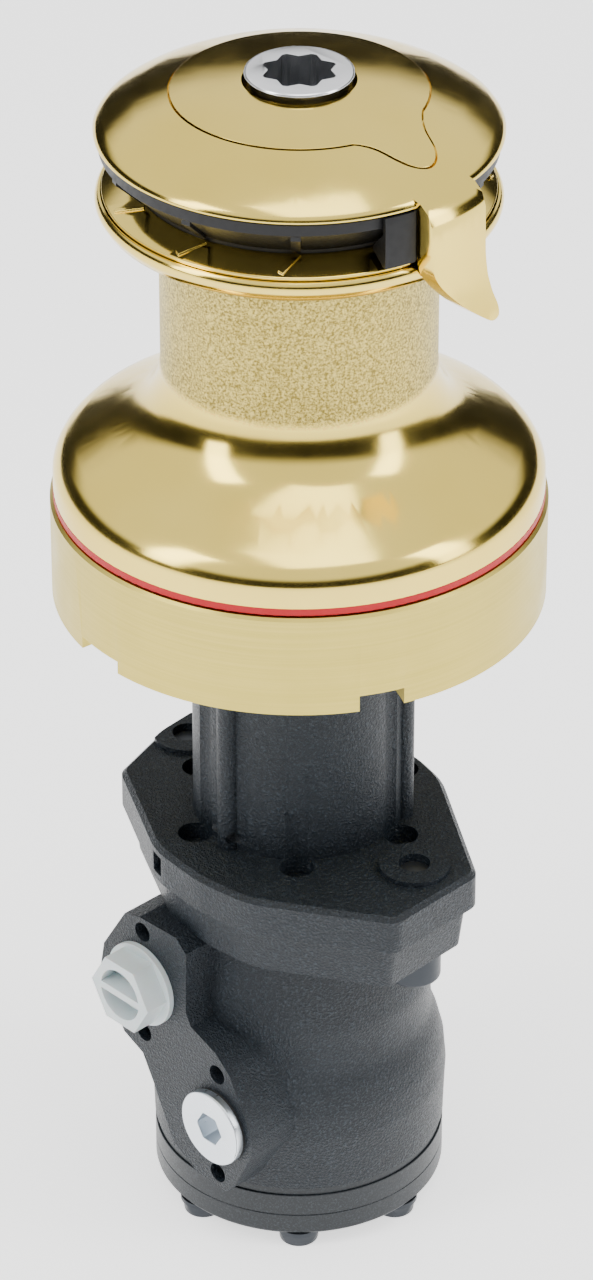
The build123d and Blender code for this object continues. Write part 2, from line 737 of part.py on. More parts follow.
with BuildPart() as shaft_upper_bush:
    with BuildSketch(Plane.XY.offset(148)):
        Circle(stem_bore_r - seat_gap)
        Circle(socket_r + run_gap, mode=Mode.SUBTRACT)
    extrude(amount=18)
save(shaft_upper_bush, "shaft_upper_bush")

with BuildPart() as shaft_lower_bush:
    with BuildSketch(Plane.XY.offset(recess_h)):
        Circle(shaft_r + 3.5 - seat_gap)
        Circle(shaft_r + run_gap, mode=Mode.SUBTRACT)
    extrude(amount=floor_t - recess_h)
save(shaft_lower_bush, "shaft_lower_bush")

# ==================================================================================================
# main shaft and gears
# ==================================================================================================
ring_phase = 0.0
idler_pinion_phase = inside_phase(ring_teeth, idler_pinion_teeth, idler_pinion_deg)
to_idler = math.degrees(math.atan2(idler_at[1] - idler_pinion_at[1], idler_at[0] - idler_pinion_at[0]))
idler_phase = outside_phase(idler_pinion_teeth, idler_pinion_phase, idler_teeth, to_idler)
high_phase = outside_phase(idler_teeth, idler_phase, high_teeth, idler_deg + 180)
low_pinion_phase = inside_phase(ring_teeth, low_pinion_teeth, low_axis_deg)
low_gear_phase = outside_phase(low_shaft_teeth, 0, low_gear_teeth, low_axis_deg)

with BuildPart() as main_shaft:
    with BuildSketch(Plane.XZ):
        with BuildLine():
            Polyline(
                (0, -39), (shaft_r, -39), (shaft_r, 8.8), (10.0, 8.8), (10.0, high_gear_z - 1.0),
                (14.5, high_gear_z - 1.0), (14.5, high_gear_z - 0.3), (shaft_r, high_gear_z - 0.3),
                (shaft_r, 137.6), (0, 137.6), (0, -39)
            )
        make_face()
    revolve(axis=Axis.Z)
    with BuildSketch(Plane.XY.offset(low_gear_z)):
        add(outer_gear(low_shaft_teeth))
    extrude(amount=low_gear_h)
    with BuildSketch(Plane.XY.offset(137.6)):
        Rectangle(15.0, 15.0)
    extrude(amount=6.2)
    with Locations((0, 0, 143.8)):
        Hole(3.02, depth=14)
    with BuildSketch(Plane.XY.offset(high_gear_z + 3.3)):
        add(pocket_face())
        add(Rot(0, 0, 180) * pocket_face())
    extrude(amount=pawl_h + 0.8, mode=Mode.SUBTRACT)
    with BuildSketch(Plane.XY.offset(-39)):
        with Locations((shaft_r, 0)):
            Rectangle(6.0, 8.04)
    extrude(amount=17, mode=Mode.SUBTRACT)
save(main_shaft, "main_shaft")

with BuildPart() as first_speed_gear:
    with BuildSketch(Plane.XY.offset(high_gear_z)):
        add(Rot(0, 0, high_phase) * outer_gear(high_teeth))
        Circle(shaft_r + run_gap, mode=Mode.SUBTRACT)
    extrude(amount=high_gear_h)
    with BuildSketch(Plane.XY.offset(high_gear_z + 3)):
        add(ratchet_face(0))
    extrude(amount=high_gear_h, mode=Mode.SUBTRACT)
save(first_speed_gear, "first_speed_gear")

with BuildPart() as first_gear_washer:
    with BuildSketch(Plane.XY.offset(high_gear_z + high_gear_h + 0.35)):
        Circle(16.0)
        Circle(shaft_r + seat_gap, mode=Mode.SUBTRACT)
    extrude(amount=1.2)
save(first_gear_washer, "first_gear_washer")

for tag, turn in (("a", 0), ("b", 180)):
    with BuildPart() as pawl:
        with BuildSketch(Plane.XY.offset(high_gear_z + 3.6)):
            add(Rot(0, 0, turn) * pawl_face())
        extrude(amount=pawl_h)
    save(pawl, f"first_pawl_{tag}")

with BuildPart() as idler_gear:
    with BuildSketch(Plane.XY.offset(high_gear_z)):
        with Locations(Location((*idler_at, 0), (0, 0, idler_phase))):
            add(outer_gear(idler_teeth))
        with Locations(idler_at):
            Circle(pin_r + run_gap, mode=Mode.SUBTRACT)
    extrude(amount=high_gear_h)
save(idler_gear, "idler_gear")

with BuildPart() as idler_pinion:
    with BuildSketch(Plane.XY.offset(high_gear_z)):
        with Locations(Location((*idler_pinion_at, 0), (0, 0, idler_pinion_phase))):
            add(outer_gear(idler_pinion_teeth))
        with Locations(idler_pinion_at):
            Circle(pin_r + run_gap, mode=Mode.SUBTRACT)
    extrude(amount=high_gear_h)
save(idler_pinion, "idler_pinion")

with BuildPart() as gear_pins:
    with BuildSketch(Plane.XY.offset(recess_h + 0.5)):
        with Locations(idler_at, idler_pinion_at):
            Circle(pin_r)
        with Locations(low_at):
            Circle(low_pin_r)
    extrude(amount=carrier_z + carrier_h - recess_h - 1.0)
save(gear_pins, "gear_pins")

with BuildPart() as second_speed_gear:
    with BuildSketch(Plane.XY.offset(low_gear_z)):
        with Locations(Location((*low_at, 0), (0, 0, low_gear_phase))):
            add(outer_gear(low_gear_teeth))
        with Locations(low_at):
            add(ratchet_face(0), mode=Mode.SUBTRACT)
    extrude(amount=low_gear_h)
    with BuildSketch(Plane.XY.offset(low_gear_z + low_gear_h)):
        with Locations(low_at):
            Circle(18.0)
            Circle(shaft_r + run_gap, mode=Mode.SUBTRACT)
    extrude(amount=1.5)
save(second_speed_gear, "second_speed_gear")

with BuildPart() as second_speed_pinion:
    with BuildSketch(Plane.XY.offset(low_pinion_z)):
        with Locations(Location((*low_at, 0), (0, 0, low_pinion_phase))):
            add(outer_gear(low_pinion_teeth))
    extrude(amount=low_pinion_h)
    with BuildSketch(Plane.XY.offset(floor_t + 1.2)):
        with Locations(low_at):
            Circle(shaft_r)
    extrude(amount=low_pinion_z - floor_t - 1.2)
    with BuildSketch(Plane.XY.offset(floor_t + 1.2)):
        with Locations(low_at):
            Circle(low_pin_r + run_gap)
    extrude(amount=low_pinion_z + low_pinion_h, mode=Mode.SUBTRACT)
    with BuildSketch(Plane.XY.offset(low_gear_z + 0.4)):
        with Locations(low_at):
            add(pocket_face())
        with Locations(Location((*low_at, 0), (0, 0, 180))):
            add(pocket_face())
    extrude(amount=pawl_h + 0.6, mode=Mode.SUBTRACT)
save(second_speed_pinion, "second_speed_pinion")

for tag, turn in (("a", 0), ("b", 180)):
    eye = Location((pawl_pivot_r, 0, 0))
    folded = eye * Rot(0, 0, pawl_fold_deg) * eye.inverse() * pawl_face()
    with BuildPart() as pawl:
        with BuildSketch(Plane.XY.offset(low_gear_z + 0.7)):
            with Locations(Location((*low_at, 0), (0, 0, turn))):
                add(folded)
        extrude(amount=pawl_h)
    save(pawl, f"second_pawl_{tag}")

# ==================================================================================================
# adapter between winch and motor
# ==================================================================================================
adapter_top = adapter_low + adapter_flange_h


def flange_outline(shrink):
    """Outline of the flange between adapter and motor, made smaller all round."""
    corners = []
    for x, y, _ in flange_corners:
        reach = math.hypot(x, y)
        corners.append((x * (reach - shrink) / reach, y * (reach - shrink) / reach))
    with BuildSketch() as outline:
        with BuildLine():
            Polyline(*corners, corners[0])
        make_face()
        for (x, y), (_, _, corner) in zip(corners, flange_corners):
            fillet([v for v in outline.vertices() if math.hypot(v.X - x, v.Y - y) < 0.01], corner)
    return outline.sketch


with BuildPart() as adapter_housing:
    with BuildSketch(Plane.XY.offset(adapter_low)):
        add(flange_outline(0))
    extrude(amount=adapter_flange_h)
    chamfer(adapter_housing.faces().sort_by(Axis.Z)[-1].edges(), 1.6)
    # raised pads round the threaded holes
    with BuildSketch(Plane.XY.offset(adapter_top - 1)):
        with Locations((motor_bolt_x, 0), (-motor_bolt_x, 0)):
            Circle(11.5)
        add(flange_outline(1.8), mode=Mode.INTERSECT)
    extrude(amount=2.7)
    # column with ribs beside the screw channels
    with BuildSketch(Plane.XY.offset(adapter_top - 1)):
        Circle(column_r)
        with Locations(*[polar(34.2, angle + 19.5) for angle in long_channel_deg]):
            Circle(3.6)
    extrude(amount=-6 - adapter_top + 1)
    with BuildSketch(Plane.XY.offset(-6)):
        Circle(top_flange_r)
    extrude(amount=6 + recess_h)
    # channels that let the screws and their key pass, three of them only at the foot
    with BuildSketch(Plane.XY.offset(adapter_top - 6)):
        with Locations(*[polar(38.4, a) for a in long_channel_deg]):
            Circle(5.6)
    extrude(amount=-6 - adapter_top + 6, mode=Mode.SUBTRACT)
    with BuildSketch(Plane.XY.offset(adapter_top - 6)):
        with Locations(*[polar(38.4, a) for a in adapter_screw_deg]):
            Circle(5.6)
    extrude(amount=24, mode=Mode.SUBTRACT)
    with Locations(Location((*polar(column_r + 1, -81), adapter_top + 4.5), (0, 90, -81))):
        Cylinder(2.2, 30, mode=Mode.SUBTRACT)
    with BuildSketch(Plane.XY.offset(-6)):
        with Locations(*[polar(adapter_screw_pcr, a) for a in adapter_screw_deg]):
            Circle(3.1)
    extrude(amount=6 + recess_h, mode=Mode.SUBTRACT)
    # bore for the coupling, threaded holes and the side slot
    with BuildSketch(Plane.XY.offset(adapter_low)):
        Circle(22.0)
    extrude(amount=recess_h - adapter_low, mode=Mode.SUBTRACT)
    with BuildSketch(Plane.XY.offset(adapter_low)):
        Circle(41.3)
    extrude(amount=2.6, mode=Mode.SUBTRACT)
    with Locations((motor_bolt_x, 0, adapter_top + 1.7), (-motor_bolt_x, 0, adapter_top + 1.7)):
        Hole(5.1)
    with BuildSketch(Plane.XY.offset(adapter_low + 2.6)):
        with Locations(polar(54.0, -104)):
            Rectangle(12, 5.4, rotation=-104)
    extrude(amount=7.0, mode=Mode.SUBTRACT)
save(adapter_housing, "adapter_housing")

with BuildPart() as adapter_screws:
    with Locations(*[(*polar(adapter_screw_pcr, a), -6) for a in adapter_screw_deg]):
        with Locations(Location((0, 0, 0), (180, 0, 0))):
            add(cap_screw(5.16, 13.4, head_d=9.0, head_h=5.0))
save(adapter_screws, "adapter_screws")

with BuildPart() as shaft_coupling:
    with BuildSketch(Plane.XY.offset(-66)):
        Circle(19.0)
        Circle(shaft_r + seat_gap, mode=Mode.SUBTRACT)
        with Locations((shaft_r + 1.0, 0)):
            Rectangle(4.0, 8.04, mode=Mode.SUBTRACT)
    extrude(amount=50)
    chamfer(rims(shaft_coupling, 19.0), 1.0)
    with Locations(Location((-19, 0, -28), (0, -90, 0)), Location((-19, 0, -54), (0, -90, 0))):
        Hole(2.5, depth=7)
save(shaft_coupling, "shaft_coupling")

with BuildPart() as coupling_screws:
    with Locations(Location((-15.8, 0, -28), (0, -90, 0)), Location((-15.8, 0, -54), (0, -90, 0))):
        Cylinder(2.48, 6.0)
        with Locations((0, 0, 3.0)):
            with BuildSketch(mode=Mode.PRIVATE) as hex_key:
                RegularPolygon(1.4, 6)
            extrude(hex_key.sketch, amount=-2.0, mode=Mode.SUBTRACT)
save(coupling_screws, "coupling_screws")

with BuildPart() as shaft_keys:
    with Locations((shaft_r + 0.0, 0, -30.4), (shaft_r + 0.0, 0, -52.6)):
        Box(5.9, 8.0, 16.0)
save(shaft_keys, "shaft_keys")

# ==================================================================================================
# hydraulic motor
# ==================================================================================================
motor_top = adapter_low
motor_flange_h = 17.0
port_1 = (-17.5, -139.0)
port_2 = (17.5, -178.0)
port_r = 10.0
port_bolt_span = 40.0
with BuildPart() as motor_housing:
    with BuildSketch(Plane.XZ):
        with BuildLine():
            Polyline(
                (0, motor_low), (48.5, motor_low), (48.8, motor_low + 10), (49.2, -186), (48.4, -177),
                (46.6, -170), (44.2, -164), (43.8, -157), (44.5, -147), (43.4, -138), (42.4, -130),
                (41.4, -119), (41.0, motor_top - 4), (0, motor_top - 4), (0, motor_low)
            )
        make_face()
    revolve(axis=Axis.Z)
    with BuildSketch(Plane.XY.offset(motor_top)):
        add(flange_outline(3.6))
    extrude(amount=-motor_flange_h, taper=7)
    with BuildSketch(Plane.XY.offset(motor_top)):
        Circle(41.25)
    extrude(amount=2.4)
    # block with the two oil ports
    with BuildSketch(Plane.XZ.offset(-port_face_y)):
        with BuildLine():
            Polyline(
                (-18.8, -113.6), (-1.4, -113.1), (3.3, -117.4), (2.9, -140.5), (5.3, -145.1), (17.1, -149.7),
                (23.6, -155.5), (30.6, -168.2), (34.0, -176.1), (33.5, -183.0), (25.5, -199.0),
                (21.6, -203.6), (8.0, -203.6), (-4.0, -197.0), (-13.0, -178.0), (-18.4, -168.0), (-27.3, -164.0),
                (-30.5, -159.0), (-36.5, -146.0), (-38.2, -142.3), (-36.5, -132.8), (-26.0, -115.7),
                (-18.8, -113.6)
            )
        make_face()
    extrude(amount=-34)
    # ports, tapped fixing holes and the screw seats
    with Locations(
        Location((port_1[0], port_face_y, port_1[1]), (90, 0, 0)),
        Location((port_2[0], port_face_y, port_2[1]), (90, 0, 0)),
    ):
        Hole(port_r, depth=24)
    with Locations(*[
        Location((x, port_face_y, z + side * port_bolt_span / 2), (90, 0, 0))
        for x, z in (port_1, port_2) for side in (-1, 1)
    ]):
        Hole(3.4, depth=13)
    with BuildSketch(Plane.XY.offset(motor_top - motor_flange_h)):
        with Locations((motor_bolt_x, 0), (-motor_bolt_x, 0)):
            Circle(9.6)
    extrude(amount=-16, mode=Mode.SUBTRACT)
    with BuildSketch(Plane.XY.offset(motor_top)):
        with Locations((motor_bolt_x, 0), (-motor_bolt_x, 0)):
            Circle(6.4)
    extrude(amount=-motor_flange_h, mode=Mode.SUBTRACT)
    # stepped bore for the seals, the thrust bearing and the shaft's drum
    with BuildSketch(Plane.XZ):
        with BuildLine():
            Polyline(
                (0, motor_top + 3), (15.6, motor_top + 3), (15.6, motor_top - 2), (20.0, motor_top - 2),
                (20.0, -112.0), (shaft_r + run_gap, -112.0), (shaft_r + run_gap, -118.0), (25.0, -118.0),
                (25.0, -124.5), (22.0 + run_gap, -124.5), (22.0 + run_gap, motor_low), (0, motor_low),
                (0, motor_top + 3)
            )
        make_face()
    revolve(axis=Axis.Z, mode=Mode.SUBTRACT)
    with BuildSketch(Plane.XY.offset(motor_low)):
        with PolarLocations(cover_bolt_pcr, cover_bolts_n, -44):
            Circle(3.4)
    extrude(amount=18, mode=Mode.SUBTRACT)
save(motor_housing, "motor_housing")

with BuildPart() as flange_screws:
    with Locations(
        Location((motor_bolt_x, 0, motor_top - motor_flange_h), (180, 0, 0)),
        Location((-motor_bolt_x, 0, motor_top - motor_flange_h), (180, 0, 0)),
    ):
        add(cap_screw(10.16, motor_flange_h + 12, head_d=18.0, head_h=12.0))
save(flange_screws, "flange_screws")

with BuildPart() as output_shaft:
    with BuildSketch(Plane.XZ):
        with BuildLine():
            Polyline(
                (0, -43), (shaft_r, -43), (shaft_r, -121.8), (22.0, -121.8), (22.0, -162.0), (15.0, -162.0),
                (15.0, -140.0), (0, -138.0), (0, -43)
            )
        make_face()
    revolve(axis=Axis.Z)
    with BuildSketch(Plane.XY.offset(-61)):
        with Locations((shaft_r, 0)):
            Rectangle(6.0, 8.04)
    extrude(amount=18, mode=Mode.SUBTRACT)
    with BuildSketch(Plane.XY.offset(-158)):
        with PolarLocations(15.0, 12):
            Rectangle(3.2, 2.6)
    extrude(amount=16)
save(output_shaft, "output_shaft")

for label, low, high, out, inn in (
    ("dust_seal", motor_top - 1.9, motor_top + 2.3, 15.5, shaft_r + run_gap),
    ("shaft_seal", -110.0, -101.0, 20.0 - seat_gap, shaft_r + run_gap),
    ("thrust_bearing", -121.4, -118.1, 24.5, shaft_r + 0.4),
    ("spacer_plate", motor_low - spacer_h, motor_low, motor_r - 0.6, 17.0),
):
    with BuildPart() as ring:
        with BuildSketch(Plane.XY.offset(low)):
            Circle(out)
            Circle(inn, mode=Mode.SUBTRACT)
        extrude(amount=high - low)
        if label == "spacer_plate":
            with BuildSketch(Plane.XY.offset(low)):
                with PolarLocations(cover_bolt_pcr, cover_bolts_n, -44):
                    Circle(4.2)
                with PolarLocations(24.0, cover_bolts_n, -18):
                    Circle(2.2)
            extrude(amount=high - low, mode=Mode.SUBTRACT)
    save(ring, label)

stator_top = motor_low - spacer_h
with BuildPart() as stator_ring:
    with BuildSketch(Plane.XY.offset(stator_top - stator_h)):
        Circle(motor_r)
        Circle(stator_roll_r + 0.25, mode=Mode.SUBTRACT)
        with PolarLocations(stator_roll_r, cover_bolts_n, roll_deg):
            Circle(stator_roll + seat_gap, mode=Mode.SUBTRACT)
        with PolarLocations(cover_bolt_pcr, cover_bolts_n, -44):
            Circle(4.2, mode=Mode.SUBTRACT)
    extrude(amount=stator_h)
save(stator_ring, "stator_ring")

with BuildPart() as stator_rollers:
    with BuildSketch(Plane.XY.offset(stator_top - stator_h + 0.05)):
        with PolarLocations(stator_roll_r, cover_bolts_n, roll_deg):
            Circle(stator_roll)
    extrude(amount=stator_h - 0.1)
save(stator_rollers, "stator_rollers")

# the rotor's outline keeps touching every roller as it orbits
rotor_outline = []
for i in range(120):
    turn = 2 * math.pi * i / 120
    px = stator_roll_r * math.cos(turn) + orbit_e * math.cos(7 * turn)
    py = stator_roll_r * math.sin(turn) + orbit_e * math.sin(7 * turn)
    dx = -stator_roll_r * math.sin(turn) - 7 * orbit_e * math.sin(7 * turn)
    dy = stator_roll_r * math.cos(turn) + 7 * orbit_e * math.cos(7 * turn)
    size = math.hypot(dx, dy)
    inset = stator_roll + run_gap
    rotor_outline.append((px - inset * dy / size, py + inset * dx / size))
rotor_at = polar(-orbit_e, roll_deg)

with BuildPart() as rotor:
    with BuildSketch(Plane.XY.offset(stator_top - stator_h + run_gap)):
        with Locations(Location((*rotor_at, 0), (0, 0, roll_deg))):
            with BuildSketch(mode=Mode.PRIVATE) as rotor_face:
                with BuildLine():
                    Spline(*rotor_outline, periodic=True)
                make_face()
                Circle(15.0, mode=Mode.SUBTRACT)
                with PolarLocations(15.0, 12):
                    Rectangle(3.2, 2.6)
            add(rotor_face.sketch)
    extrude(amount=stator_h - 2 * run_gap)
save(rotor, "rotor")

link_top = -150.0
link_low = stator_top - stator_h / 2
tilt = math.degrees(math.atan2(orbit_e, link_top - link_low))
with BuildPart() as drive_link:
    with BuildSketch(Plane.XZ):
        with BuildLine():
            Polyline((0, 7.0), (10.5, 7.0), (12.6, 3.0), (12.8, 0), (12.6, -3.0), (10.5, -7.0), (7.5, -10.0))
            Polyline(
                (7.5, -10.0), (7.5, link_low - link_top + 7.5), (12.4, link_low - link_top + 3.4),
                (12.6, link_low - link_top), (12.4, link_low - link_top - 3.2),
                (0, link_low - link_top - 3.2), (0, 7.0)
            )
        make_face()
    revolve(axis=Axis.Z)
link_place = Location((0, 0, link_top)) * Rot(0, 0, roll_deg) * Rot(0, tilt, 0)
drive_link.part = link_place * drive_link.part
save(drive_link, "drive_link")

with BuildPart() as end_cover:
    cover_low = stator_top - stator_h - end_cover_h
    with BuildSketch(Plane.XY.offset(cover_low)):
        Circle(motor_r)
    extrude(amount=end_cover_h)
    chamfer(end_cover.faces().sort_by(Axis.Z)[0].edges(), 0.8)
    with BuildSketch(Plane.XY.offset(cover_low)):
        with PolarLocations(cover_bolt_pcr, cover_bolts_n, -44):
            Circle(4.2)
    extrude(amount=end_cover_h, mode=Mode.SUBTRACT)
save(end_cover, "end_cover")

with BuildPart() as cover_washers:
    with BuildSketch(Plane.XY.offset(cover_low - 1.6)):
        with PolarLocations(cover_bolt_pcr, cover_bolts_n, -44):
            Circle(7.6)
            Circle(4.2, mode=Mode.SUBTRACT)
    extrude(amount=1.6)
save(cover_washers, "cover_washers")

with BuildPart() as cover_bolts:
    with Locations((0, 0, cover_low - 1.6)):
        with PolarLocations(cover_bolt_pcr, cover_bolts_n, -44):
            with Locations(Location((0, 0, 0), (180, 0, 0))):
                add(hex_screw(6.76, 34.0, 13.0))
save(cover_bolts, "cover_bolts")

with BuildPart() as port_plug_plastic:
    with BuildSketch(Plane.XZ.offset(-port_face_y)):
        with Locations(port_1):
            Circle(14.75)
    extrude(amount=2.0)
    with BuildSketch(Plane.XZ.offset(-port_face_y + 2.0)):
        with Locations(port_1):
            RegularPolygon(11.75, 6, major_radius=False)
    extrude(amount=8.5)
    with BuildSketch(Plane.XZ.offset(-port_face_y + 10.5)):
        with Locations(port_1):
            Circle(9.0)
            Rectangle(18.0, 2.6, mode=Mode.SUBTRACT)
    extrude(amount=-6.5, mode=Mode.SUBTRACT)
    with BuildSketch(Plane.XZ.offset(-port_face_y)):
        with Locations(port_1):
            Circle(port_r - seat_gap)
    extrude(amount=-14.0)
save(port_plug_plastic, "port_plug_plastic")

with BuildPart() as port_plug_steel:
    with BuildSketch(Plane.XZ.offset(-port_face_y + 0.8)):
        with Locations(port_2):
            Circle(13.25)
    extrude(amount=3.0)
    chamfer(port_plug_steel.faces().sort_by(Axis.Y)[0].edges(), 0.4)
    with BuildSketch(Plane.XZ.offset(-port_face_y + 0.8)):
        with Locations(port_2):
            Circle(port_r - seat_gap)
    extrude(amount=-14.0)
    with BuildSketch(Plane.XZ.offset(-port_face_y + 3.8)):
        with Locations(port_2):
            RegularPolygon(5.0, 6, major_radius=False)
    extrude(amount=-8.0, mode=Mode.SUBTRACT)
save(port_plug_steel, "port_plug_steel")

with BuildPart() as steel_plug_seal:
    with BuildSketch(Plane.XZ.offset(-port_face_y)):
        with Locations(port_2):
            Circle(13.0)
            Circle(port_r, mode=Mode.SUBTRACT)
    extrude(amount=0.8)
save(steel_plug_seal, "steel_plug_seal")
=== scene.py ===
# %% [markdown]
# # Self-tailing sailing winch with an oil motor
# The model's shapes come from the CAD frame, in metres, with +Z up and the deck plane at z = 0.
# This script gives every piece its finish, rebuilds the pieces that need finer shapes, and lights them.

# %% Load the frame
import json
import math

import bmesh
import bpy
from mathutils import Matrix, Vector

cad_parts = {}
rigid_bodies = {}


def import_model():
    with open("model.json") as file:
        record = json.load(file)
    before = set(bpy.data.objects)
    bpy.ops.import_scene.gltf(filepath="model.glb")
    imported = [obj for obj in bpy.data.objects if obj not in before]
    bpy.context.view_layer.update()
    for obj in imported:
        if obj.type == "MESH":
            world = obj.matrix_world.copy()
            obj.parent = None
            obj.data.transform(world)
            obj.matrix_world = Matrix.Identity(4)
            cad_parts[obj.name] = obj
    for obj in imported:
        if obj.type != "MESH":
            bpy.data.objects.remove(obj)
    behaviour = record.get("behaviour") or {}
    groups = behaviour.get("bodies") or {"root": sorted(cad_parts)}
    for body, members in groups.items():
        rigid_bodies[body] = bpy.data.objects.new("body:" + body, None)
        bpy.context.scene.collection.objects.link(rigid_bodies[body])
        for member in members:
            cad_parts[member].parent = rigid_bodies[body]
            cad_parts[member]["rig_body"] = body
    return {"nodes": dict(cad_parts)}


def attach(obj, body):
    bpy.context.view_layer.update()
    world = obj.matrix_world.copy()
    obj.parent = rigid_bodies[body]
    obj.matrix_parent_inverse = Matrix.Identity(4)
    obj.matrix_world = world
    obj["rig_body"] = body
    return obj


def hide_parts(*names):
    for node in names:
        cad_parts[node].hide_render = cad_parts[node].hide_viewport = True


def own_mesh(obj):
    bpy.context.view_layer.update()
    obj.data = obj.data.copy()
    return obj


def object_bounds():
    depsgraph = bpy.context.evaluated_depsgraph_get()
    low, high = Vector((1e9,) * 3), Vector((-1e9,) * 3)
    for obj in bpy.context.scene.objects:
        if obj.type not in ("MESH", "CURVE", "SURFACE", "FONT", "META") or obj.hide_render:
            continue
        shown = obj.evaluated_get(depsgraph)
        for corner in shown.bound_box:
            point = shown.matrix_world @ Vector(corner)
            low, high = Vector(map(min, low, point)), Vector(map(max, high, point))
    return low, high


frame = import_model()
nodes = frame["nodes"]
cad_box = [list(map(float, corner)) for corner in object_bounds()]
print("loaded", len(nodes), "nodes, box", cad_box)

# %% [markdown]
# A product camera with a long lens keeps the upright lines nearly parallel. Its focal length is given
# in frame heights, so the view stays the same at any size. It looks down from the side of the lug.

# %% Camera
def direction(azimuth, elevation):
    """The unit vector from the object to a viewer, in degrees. Azimuth 0 is at -Y and 90 at +X."""
    a, e = math.radians(azimuth), math.radians(elevation)
    return Vector((math.sin(a) * math.cos(e), -math.cos(a) * math.cos(e), math.sin(e)))

def place_camera(target, azimuth, elevation, distance, focal):
    """A camera that looks at a point from an azimuth and an elevation in degrees."""
    toward = direction(azimuth, elevation)
    data = bpy.data.cameras.new("camera")
    data.sensor_fit = "VERTICAL"
    data.sensor_height = sensor_height
    data.lens = sensor_height * focal
    camera = bpy.data.objects.new("camera", data)
    camera.location = target + toward * distance
    camera.rotation_euler = (-toward).to_track_quat("-Z", "Y").to_euler()
    bpy.context.scene.collection.objects.link(camera)
    bpy.context.scene.camera = camera
    return camera

sensor_height = 36.0
aim = Vector((-0.000590, -0.000613, -0.022256))
camera_azimuth = 46.07
camera_elevation = 32.255
camera_distance = 1.80528
focal_in_frame_heights = 4.407164
camera = place_camera(aim, camera_azimuth, camera_elevation, camera_distance, focal_in_frame_heights)
print("camera at", [round(v, 3) for v in camera.location])

# %% [markdown]
# Shader maths reads best as plain expressions, so a small class wraps a socket and adds the
# Math nodes when two values meet an operator.

# %% Shader helpers
class Val:
    """A shader socket that can be added, subtracted and multiplied."""

    def __init__(self, mat, socket):
        self.mat = mat
        self.socket = socket

    def join(self, operation, other):
        return self.mat.node("ShaderNodeMath", {"operation": operation}, {0: self, 1: other})

    def __add__(self, other):
        return self.join("ADD", other)

    def __sub__(self, other):
        return self.join("SUBTRACT", other)

    def __mul__(self, other):
        return self.join("MULTIPLY", other)


class Finish:
    """A material, with one method that makes its nodes and short names for the common ones."""

    def __init__(self, name, **constants):
        self.material = bpy.data.materials.new(name)
        self.material.use_nodes = True
        self.tree = self.material.node_tree
        self.shader = next(n for n in self.tree.nodes if n.type == "BSDF_PRINCIPLED")
        for key, value in constants.items():
            self.shader.inputs[key.replace("_", " ")].default_value = value

    def node(self, kind, settings=None, sockets=None, out=0):
        """A new node with its settings and inputs. What comes back is its output number out."""
        made = self.tree.nodes.new(kind)
        for key, value in (settings or {}).items():
            setattr(made, key, value)
        for key, value in (sockets or {}).items():
            if isinstance(value, Val):
                self.tree.links.new(value.socket, made.inputs[key])
            else:
                made.inputs[key].default_value = value
        return Val(self, made.outputs[out])

    def place(self, scale=(1, 1, 1)):
        coords = self.node("ShaderNodeTexCoord", out="Object")
        return self.node("ShaderNodeMapping", {}, {0: coords, "Scale": scale})

    def noise(self, scale, detail=3.0, rough=0.55, where=None):
        where = where or self.place()
        sockets = {"Vector": where, "Scale": scale, "Detail": detail, "Roughness": rough}
        return self.node("ShaderNodeTexNoise", {}, sockets)

    def span(self, value, low, high, to_low=0.0, to_high=1.0):
        sockets = {0: value, 1: low, 2: high, 3: to_low, 4: to_high}
        return self.node("ShaderNodeMapRange", {}, sockets)

    def spread(self, noise, to_low=0.0, to_high=1.0):
        """Noise keeps to its middle values, so those are stretched over the whole range."""
        return self.span(noise, noise_low, noise_high, to_low, to_high)

    def mix(self, mask, a, b):
        """One colour where the mask is 0 and another where it is 1."""
        a, b = (v if isinstance(v, Val) else (*v, 1) for v in (a, b))
        return self.node("ShaderNodeMix", {"data_type": "RGBA"}, {0: mask, 6: a, 7: b}, out=2)

    def set(self, socket, value):
        if isinstance(value, Val):
            self.tree.links.new(value.socket, self.shader.inputs[socket])
        else:
            self.shader.inputs[socket].default_value = value

    def colour(self, mask, a, b):
        self.set("Base Color", self.mix(mask, a, b))

    def gloss(self, noise, low, high):
        """A roughness that changes with the noise. A low one is glossy."""
        self.set("Roughness", self.spread(noise, low, high))

    def bump(self, height, distance, strength):
        sockets = {"Height": height, "Distance": distance, "Strength": strength}
        self.set("Normal", self.node("ShaderNodeBump", {}, sockets))

    def onto(self, *names):
        for name in names:
            data = nodes[name].data
            data.materials.clear()
            data.materials.append(self.material)

noise_low, noise_high = 0.3, 0.7
print("shader helpers ready")

# %% [markdown]
# On the real winch no edge is a knife edge, and turned and cast surfaces run smoothly. A CAD mesh is
# loose flat triangles, so a refined copy is made: its corners are merged, flat areas become single
# faces, and a Bevel modifier rounds every sharp edge. The piece's box stays that of the CAD part.

# %% A refined copy of a CAD node
merge_distance = 2e-6
flat_angle = math.radians(0.6)
crease_angle = math.radians(32)

def merged_copy(name):
    """The node's triangles as one joined mesh with large flat faces."""
    bm = bmesh.new()
    bm.from_mesh(nodes[name].data)
    bmesh.ops.remove_doubles(bm, verts=bm.verts, dist=merge_distance)
    bmesh.ops.dissolve_limit(bm, angle_limit=flat_angle, verts=bm.verts, edges=bm.edges)
    return bm

def show_piece(bm, name, node, finish):
    """Turn a bmesh into a piece that stands for a CAD node and rides with its body."""
    mesh = bpy.data.meshes.new(name)
    bm.to_mesh(mesh)
    bm.free()
    mesh.materials.append(finish.material)
    piece = bpy.data.objects.new(name, mesh)
    bpy.context.scene.collection.objects.link(piece)
    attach(piece, nodes[node]["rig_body"])
    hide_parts(node)
    return piece

def is_sharp(edge, angle):
    """Whether two faces meet here at more than an angle."""
    return edge.is_manifold and edge.calc_face_angle(0.0) > angle

